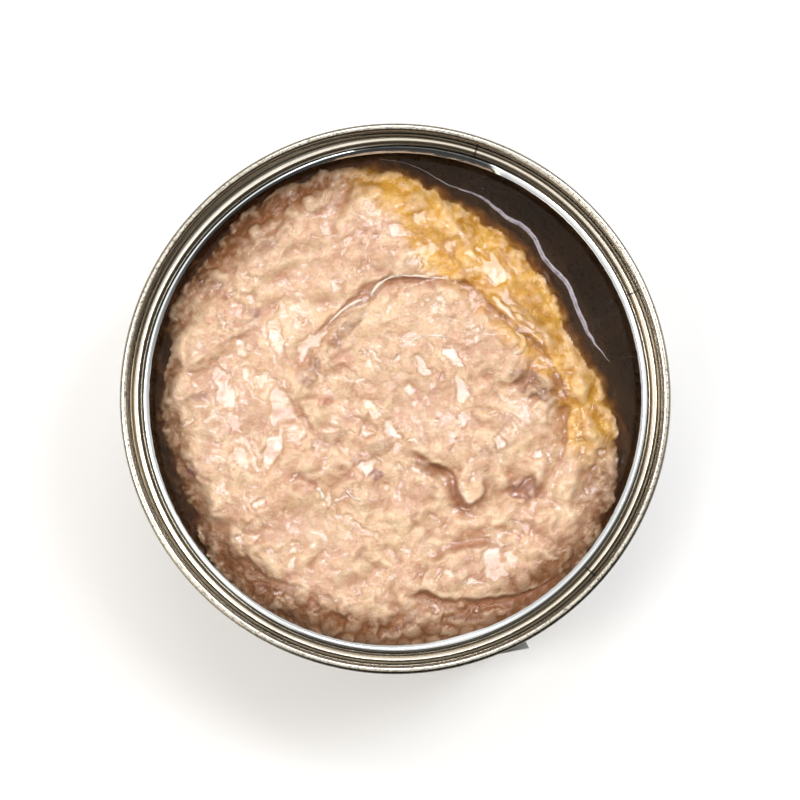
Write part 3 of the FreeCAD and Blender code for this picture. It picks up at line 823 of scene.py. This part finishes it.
def meat_material():
    t = material_tree("minced_meat")
    hollow, fat, shine, depth = (t.field(name) for name in ("hollow", "fat", "shine", "depth"))
    broad = t.scale(t.noise(8 * MM, 3, 0.55), 0.38, 0.62)
    base = t.mix(broad, colour(209, 169, 137), colour(224, 191, 155))
    # Clouds of other tints: size in mm, layers, roughness, distortion, limits, strength, colour
    for size, layers, rough, bent, low, high, share, tint in (
            (2.6, 3, 0.55, 0.8, 0.48, 0.64, 0.5, (206, 154, 132)),
            (2.2, 3, 0.55, 0.7, 0.5, 0.72, 0.65, (240, 216, 182)),
            (4.5, 4, 0.6, 0.5, 0.53, 0.7, 0.4, (201, 158, 112)),
            (0.7, 3, 0.6, 0.5, 0.63, 0.72, 0.25, (190, 124, 98))):
        base = t.paint(base, tint, t.scale(t.noise(size * MM, layers, rough, bent), low, high), share)
    fleck = t.noise(0.55 * MM, 3, 0.6, 0.6)
    grainy = t.scale(t.noise(5 * MM, 2, 0.5), 0.42, 0.6, 0.15, 1)
    base = t.paint(base, (252, 226, 200), t.scale(fleck, 0.54, 0.66, 0, 0.42), grainy)
    base = t.paint(base, (188, 132, 98), t.scale(fleck, 0.46, 0.36, 0, 0.26), grainy)
    amber = t.scale(t.noise(3 * MM, 3, 0.55, 0.6), 0.36, 0.62)
    amber = t.mix(amber, colour(192, 134, 44), colour(221, 170, 72))
    amber = t.paint(amber, (243, 212, 134), t.scale(t.noise(1.1 * MM, 3, 0.6, 0.6), 0.55, 0.68), 0.3)
    base = t.mix(fat, base, amber)
    broken = t.scale(t.noise(1.2 * MM, 4, 0.6), 0.35, 0.6, 0.65, 1)
    # The first of these three is painted shade; the purple and the red are stains.
    for patch_field, tint in (("brown_shade", (136, 89, 54)), ("purple", (158, 114, 108)), ("red", (190, 112, 86))):
        base = t.paint(base, tint, t.field(patch_field), broken)
    # Painted shade: darker and browner in the hollows.
    shade = t.mix(fat, colour(190, 130, 92), colour(174, 112, 38))
    base = t.mix(t.scale(hollow, 0.1, 1.5, 0, 0.72), base, shade)
    # Painted light: paler on the tops of the lumps.
    base = t.paint(base, (253, 228, 198), t.scale(hollow, -0.1, -1.2, 0, 0.35))
    # The threads' pale colour, set by their low hollow value; along the swirl it is a painted highlight.
    base = t.paint(base, (250, 228, 214), t.scale(hollow, -2, -3, 0, 0.8))
    # Painted shade in the creases, on the low side of the folds and along the seams between chunks.
    base = t.paint(base, (158, 108, 74), t.scale(t.field("crease_shade"), 0.05, 0.8, 0, 0.62))
    tint = t.add("CombineColor")
    for channel, loss in enumerate(BROTH_LOSS):
        t.put(tint, channel, t.math("EXPONENT", t.times(depth, -loss)))
    base = t.mix(1, base, tint.outputs[0], "MULTIPLY")
    base = t.paint(base, (88, 65, 45), t.scale(depth, 0.7, 3))
    dry = t.scale(depth, 0.1, 1.6, 1, 0)
    calm = t.times(t.scale(shine, 0.1, 0.9, 1, 0.22), dry)
    fine = t.plus(t.noise(0.42 * MM, 1), t.times(t.noise(0.8 * MM, 2), 0.9))
    film = t.plus(t.noise(1.7 * MM, 1, 0.4, 0.9), t.times(t.noise(0.7 * MM, 1, 0.4), 0.22))
    rough = t.scale(t.noise(1.4 * MM, 3, 0.6), 0.38, 0.62, 0.24, 0.42)
    rough = t.mix(t.scale(shine, 0.2, 0.8), rough, (0.14, 0.14, 0.14, 1))
    return t.principled(Base_Color=base, Roughness=rough, Normal=t.bump(t.times(fine, calm), 0.12 * MM),
                        Subsurface_Weight=0.4, Subsurface_Radius=(1, 0.42, 0.2),
                        Subsurface_Scale=0.8 * MM, IOR=1.42, Coat_Weight=t.times(dry, 0.22),
                        Coat_Roughness=0.09, Coat_IOR=1.5, Coat_Normal=t.bump(t.times(film, calm), 0.5 * MM))


def wet_material():
    """A clear film of broth and gelatine."""
    t = material_tree("wet_film")
    ripple = t.plus(t.noise(0.9 * MM, 2, 0.5, 0.5), t.times(t.noise(0.4 * MM, 1), 0.25))
    return t.clear_coat((1, 1, 1, 1), (0.78, 0.74, 0.81, 1), 0.15, 0.045, Normal=t.bump(ripple, 0.035 * MM))


def broth_glint_material():
    """Painted reflection: a grey-lilac strip for the bright line that the broth mirrors."""
    t = material_tree("painted_broth_glint")
    cloud = t.noise(1.2 * MM, 4, 0.6)
    tint = t.mix(t.scale(cloud, 0.35, 0.65), colour(118, 108, 114), colour(166, 158, 170))
    return t.principled(Base_Color=tint, Roughness=t.scale(cloud, 0.3, 0.7, 0.15, 0.3),
                        Normal=t.bump(cloud, 0.03 * MM))


def broth_material():
    return material_tree("broth").clear_coat((0.96, 0.93, 0.88, 1), (0.9, 0.8, 0.7, 1), 0.015, 0.02)


def end_wear_and_shade(t, arc, r, z, tint, rough):
    """Tint and roughness of the torn end: painted shade in the channels and on the seam's outer flank,
    darker on its front half, a painted highlight along the countersink's floor, a worn crown, scuffs and
    nicks.
    """
    floor = crown_top - (COUNTERSINK + PLATE) * MM

    def within(value, origin, start, full, unit=MM):
        """0 at start and 1 at full, both counted from the origin."""
        return t.scale(value, origin + start * unit, origin + full * unit)

    def lay(over, *shares):
        return t.paint(tint, over, *shares)

    # Painted shade: the channel's walls by the countersink darker and browner.
    tint = lay((88, 77, 58), within(r, mouth_radius, 0.75, 1.15), within(z, crown_top, -0.1, -0.26),
               within(z, floor, 0.27, 0.36), 0.9)
    # Painted highlight: a pale line along the countersink's floor.
    groove = within(z, floor, 0.37, 0.27)
    tint = lay((240, 233, 220), groove)
    for at in NICKS:
        beside = t.math("ABSOLUTE", t.math("SUBTRACT", arc, math.radians(at) * seam_radius))
        tint = lay((62, 44, 36), within(beside, 0, 0.2, 0.08), within(z, floor, 0.46, 0.34), 0.85)
    tint = lay((236, 241, 244), within(r, mouth_radius, 1.5, 1.2), within(z, floor, 1, 1.4))
    # Painted shade: the seam's outer flank darker.
    tint = lay((130, 121, 104), within(r, seam_radius, -0.42, -0.14),
               within(z, crown_top, -3, -0.9), 0.85)
    pits = t.scale(t.noise(0.5 * MM, 4, 0.7), 0.46, 0.56)
    tint = lay((84, 68, 54), within(r, seam_radius, -1.05, -0.95), within(r, seam_radius, -0.38, -0.68),
               within(arc, 0, 0.85, 1.3, seam_radius), pits, 0.8)
    crown = within(z, crown_top, -0.35, -0.1)
    tint = lay((208, 201, 184), crown, 0.6)
    tint = lay((92, 84, 70), t.scale(t.noise(0.4 * MM, 4, 0.7), 0.52, 0.62), crown, 0.8)
    # Painted shade, mottled: the seam's outer edge darker still on the front half.
    patchy = t.scale(t.noise(0.5 * MM, 4, 0.7), 0.38, 0.54, 0.4, 1)
    tint = lay((74, 68, 60), within(r, seam_radius, -0.75, -0.22), within(arc, 0, -3, -1.5, seam_radius),
               within(arc, 0, -0.05, -0.75, seam_radius), patchy)
    return tint, t.plus(rough, t.times(groove, 0.1), t.times(crown, 0.1))


def steel_material(name, is_end):
    t = material_tree(name)
    split = t.add("SeparateXYZ", Vector=t.place())
    x, y, z = split.outputs
    arc = t.times(t.math("ARCTAN2", y, x), seam_radius)
    r = t.distance(x, y)
    stretched = t.add("CombineXYZ", X=t.times(arc, 0.06), Y=r, Z=z)
    lines = t.noise(0.16 * MM, 4, 0.6, vector=stretched.outputs[0])
    mottle = t.noise(2.2 * MM, 4, 0.6)
    rough = t.plus(t.scale(lines, 0.3, 0.7, 0.05, 0.11), t.scale(mottle, 0.4, 0.7, 0, 0.05))
    tint = t.mix(t.scale(mottle, 0.35, 0.65), colour(224, 220, 210), colour(238, 236, 229))
    if is_end:
        tint, rough = end_wear_and_shade(t, arc, r, z, tint, rough)
    return t.principled(Base_Color=tint, Metallic=1, Roughness=rough, Normal=t.bump(lines, 0.0025 * MM))


def paper_material():
    t = material_tree("label_paper")
    fibre = t.noise(0.25 * MM, 4, 0.65)
    tint = t.mix(t.scale(t.noise(7 * MM), 0.35, 0.65), colour(201, 201, 199), colour(205, 205, 202))
    tint = t.paint(tint, (176, 176, 174), t.scale(fibre, 0.45, 0.75, 0, 0.25))
    return t.principled(Base_Color=tint, Roughness=0.62, Normal=t.bump(fibre, 0.02 * MM))


def floor_material():
    """White to the eye and in reflections, and still shaded by the part."""
    t = material_tree("floor_white")
    path = t.add("LightPath")
    paint = t.add("BsdfDiffuse", Color=(0.86, 0.86, 0.86, 1))
    glow = t.add("Emission", Color=(1, 1, 1, 1), Strength=FLOOR_GLOW)
    both = t.add("AddShader")
    t.put(both, 0, paint.outputs[0])
    t.put(both, 1, glow.outputs[0])
    seen = t.math("MAXIMUM", path.outputs["Is Camera Ray"],
                  t.math("MAXIMUM", path.outputs["Is Glossy Ray"], path.outputs["Is Transmission Ray"]))
    return t.either(seen, paint, both)


# ---- pieces
def make_meat():
    surface = meat_surface()
    mx, my, mz = surface["x"], surface["y"], surface["z"]
    foot = [(share, meat_low.z + up * MM) for share, up in MEAT_FOOT]
    points, faces = closed_below(mx * MM, my * MM, mz * MM, foot)
    material = meat_material()
    piece = make_piece("meat_surface", points, faces, material)
    extra = len(points) - mx.size
    fields = food_fields(mx, my, mz)
    fields.update({name: surface[name] for name in ("crease_shade", "shine", "hollow")})
    for name, values in fields.items():
        set_field(piece, name, np.concatenate([values.ravel(), np.zeros(extra)]))
    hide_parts("meat")
    return surface, material


def lie_on(surface, x, y):
    """Height of the meat's surface at each point, in mm."""
    d = (surface["x"][None] - x[:, None, None]) ** 2 + (surface["y"][None] - y[:, None, None]) ** 2
    return surface["z"].ravel()[d.reshape(len(x), -1).argmin(1)]


def make_threads(surface, material):
    """Threads of meat and jelly that lie on the surface; the pale ones along the swirl are a painted
    highlight.
    """
    random = rng("threads")
    sides = 8
    points, faces, pale = [], [], []
    count = 0
    for k, (through, radius) in enumerate(THREADS):
        line = curve_through(through, 8)
        n = len(line)
        z = lie_on(surface, *line.T)
        z = np.convolve(np.pad(z, 2, mode="edge"), np.ones(5) / 5, "valid")
        across = sideways(line)
        taper = np.sqrt(np.clip(1 - np.linspace(-1, 1, n) ** 4, 0.02, 1))
        vary = np.clip(0.95 + 1.1 * layered(*line.T, 2, 900 + k, 2), 0.3, 1.6)
        wide = radius * taper * vary
        for i in range(sides):
            turn = 2 * math.pi * i / sides
            flat = line + across * (wide * math.cos(turn))[:, None]
            points.append(np.column_stack([flat, z + 0.5 * wide * math.sin(turn)]))
        faces += tube_faces(sides, n, count)
        pale.append(np.full(sides * n, random.uniform(-3.4, -2.6)))
        count += sides * n
    points = np.vstack(points)
    piece = make_piece("meat_threads", points * MM, faces, material)
    values = food_fields(*points.T)
    values.update({"hollow": np.concatenate(pale) + 1.7 * values["fat"], "crease_shade": np.zeros(count),
                   "shine": np.full(count, 0.5), "brown_shade": np.zeros(count)})
    for name, value in values.items():
        set_field(piece, name, value)


def make_broth_glint():
    """A pale strip that lies as a low ridge on the broth, a painted reflection of the bright line that the
    broth mirrors.
    """
    line = curve_through(BROTH_GLINT, 8)
    across = sideways(line)
    t = np.linspace(0, 1, len(line))
    ragged = 0.16 * layered(*line.T, 1.8, 701, 3)
    width = 0.05 + 0.36 * ramp((t - 0.1) / 0.4) * ramp((1.02 - t) / 0.22) * (1 + 1.1 * ragged)
    profile = ((1, -0.02), (0.7, 0.025), (0.25, 0.06), (-0.25, 0.06), (-0.7, 0.025), (-1, -0.02),
               (0, -0.06))
    middle = line + across * (1.2 * ragged)[:, None]
    points = []
    for side, up in profile:
        flat = middle + across * (side * width)[:, None]
        points.append(np.column_stack([flat, np.full(len(line), broth_level / MM + up)]))
    faces = tube_faces(len(profile), len(line))
    make_piece("painted_broth_glint", np.vstack(points) * MM, faces, broth_glint_material())


def make_broth():
    x, y = disc_grid(food_radius, BROTH_SPANS)
    z = np.full(x.shape, broth_level)
    points, faces = closed_below(x, y, z, [(1, broth_low.z)])
    piece = make_piece("broth_pool", points, faces, broth_material())
    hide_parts("broth")


def make_film(surface):
    """Wet jelly that coats the meat and fills its low spots; the tips of the lumps stand out of it."""
    x, y = surface["x"], surface["y"]
    ripple = 0.31 * layered(x, y, 4.4, 801, 2) + 0.11 * layered(x, y, 1.9, 802, 2)
    cover = 0.16 * surface["smooth"] + 0.3 * layered(x, y, 7, 805, 2)
    calm = blurred(surface["z"], 4)
    soft = calm + 0.02 + ripple + cover
    wx, wy = warped(x, y, 0.5, 2.2, 803)
    for line, half in WELTS:
        aside, along = along_curve(wx, wy, curve_through(line))
        soft = soft + 1.1 * half * bell(aside / half) * faded(along, 0.12)
    dry = broth_level / MM + 0.9
    wrinkle = 0.08 * layered(x, y, 2.8, 811, 2, 0.4)
    for face, inside in face_masks(x, y):
        cx, cy, *_, (azimuth, slope) = face
        near = inside > 0.5
        level = calm[near].mean()
        if level < dry:
            continue
        fall = math.tan(math.radians(slope))
        away = (x - cx) * math.cos(math.radians(azimuth)) + (y - cy) * math.sin(math.radians(azimuth))
        lift = fall * away[near].max()
        plane = level + 0.04 + 0.6 * lift - fall * away + (0.3 if face is FAT_FACE else 1) * wrinkle
        soft = soft * (1 - inside) + plane * inside
    soft = np.minimum(soft, FILM_TOP)
    points, faces = closed_below(x * MM, y * MM, soft * MM, [(1, broth_low.z)])
    make_piece("wet_film", points, faces, wet_material())


def make_stage():
    size = 3
    points = [(-size, -size, 0), (size, -size, 0), (size, size, 0), (-size, size, 0)]
    mesh = bpy.data.meshes.new("floor")
    mesh.from_pydata(points, [], [(0, 1, 2, 3)])
    mesh.materials.append(floor_material())
    placed("floor", mesh)


def softbox(name, azimuth, zenith, distance, size, power, tint):
    """A lamp aimed at the origin. Its angles are in degrees, its distance and size in metres."""
    light = bpy.data.lights.new(name, "AREA")
    light.shape = "RECTANGLE"
    light.size, light.size_y = size
    light.energy = power
    light.color = tint
    lamp = placed(name, light)
    a, z = math.radians(azimuth), math.radians(zenith)
    spot = Vector((math.sin(z) * math.cos(a), math.sin(z) * math.sin(a), math.cos(z))) * distance
    lamp.location = spot
    lamp.rotation_euler = (-spot).to_track_quat("-Z", "Y").to_euler()


def studio_world():
    """White to the eye. As light, a bright tent round the can, open and dark towards the front."""
    world = bpy.data.worlds.new("studio")
    bpy.context.scene.world = world
    t = Tree(world, "World")

    def rise(value, low, high, to_low=0, to_high=1):
        return t.scale(value, low, high, to_low, to_high, "SMOOTHSTEP")

    x, y, z = t.add("SeparateXYZ", Vector=t.add("TexCoord").outputs["Generated"]).outputs
    east, north = math.cos(math.radians(TENT_MIDDLE)), math.sin(math.radians(TENT_MIDDLE))
    flat = t.math("MAXIMUM", t.distance(x, y), 1e-4)
    facing = t.math("DIVIDE", t.plus(t.times(x, east), t.times(y, north)), flat)
    aside = t.math("SUBTRACT", t.times(y, east), t.times(x, north))
    # The tent ends sharply on one side of the open front and softly on the other
    sharp = rise(aside, -0.02, 0.02)
    tent = t.plus(t.times(rise(facing, -0.68, -0.62), sharp),
                  t.times(rise(facing, -0.95, -0.3), t.math("SUBTRACT", 1, sharp)))
    wall = t.times(tent, t.times(rise(z, 0.1, 0.45), rise(z, 0.995, 0.93)), TENT_LIGHT)
    overhead = rise(z, 0.9, 0.995, 0, OVERHEAD_LIGHT)
    path = t.add("LightPath")
    ceiling = t.math("MAXIMUM", t.times(tent, rise(z, 0.62, 0.74)), rise(z, 0.88, 0.96))
    mirrored = t.times(ceiling, path.outputs["Is Glossy Ray"], CEILING_GLOW)
    lit = t.add("Background", Color=TENT_TINT, Strength=t.plus(wall, overhead, DARK_LIGHT, mirrored))
    t.either(path.outputs["Is Camera Ray"], lit, t.add("Background", Color=(1, 1, 1, 1)))


def make_lights():
    studio_world()
    softbox("key", 38, 30, 1, (0.3, 0.4), 4.2, (0.97, 0.985, 1))
    softbox("left", 186, 22, 1, (0.15, 0.42), 2.5, (1, 0.975, 0.95))
    softbox("warm", 222, 60, 0.26, (0.12, 0.12), 0.045, (1, 0.83, 0.58))
    softbox("top", 92, 26, 1, (0.36, 0.15), 1.9, (0.98, 0.985, 1))


def make_camera():
    """Straight down over the mouth, a little beside its middle."""
    distance, view_width, sensor = 0.55, 0.1266, 36
    aside = (0.75 * MM, -0.19 * MM)
    camera = bpy.data.cameras.new("camera")
    camera.sensor_width = sensor
    camera.lens = sensor * distance / view_width
    eye = placed("camera", camera)
    eye.location = (*aside, crown_top + distance)
    bpy.context.scene.camera = eye


make_camera()
make_stage()
make_lights()
make_end(steel_material("tinplate_end", True))
for node, material in (("can_body", steel_material("tinplate_body", False)),
                       ("label", paper_material())):
    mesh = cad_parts[node].data
    mesh.materials.clear()
    mesh.materials.append(material)
surface, meat = make_meat()
make_threads(surface, meat)
make_broth()
make_broth_glint()
make_film(surface)

bpy.context.scene.view_settings.view_transform = "Standard"
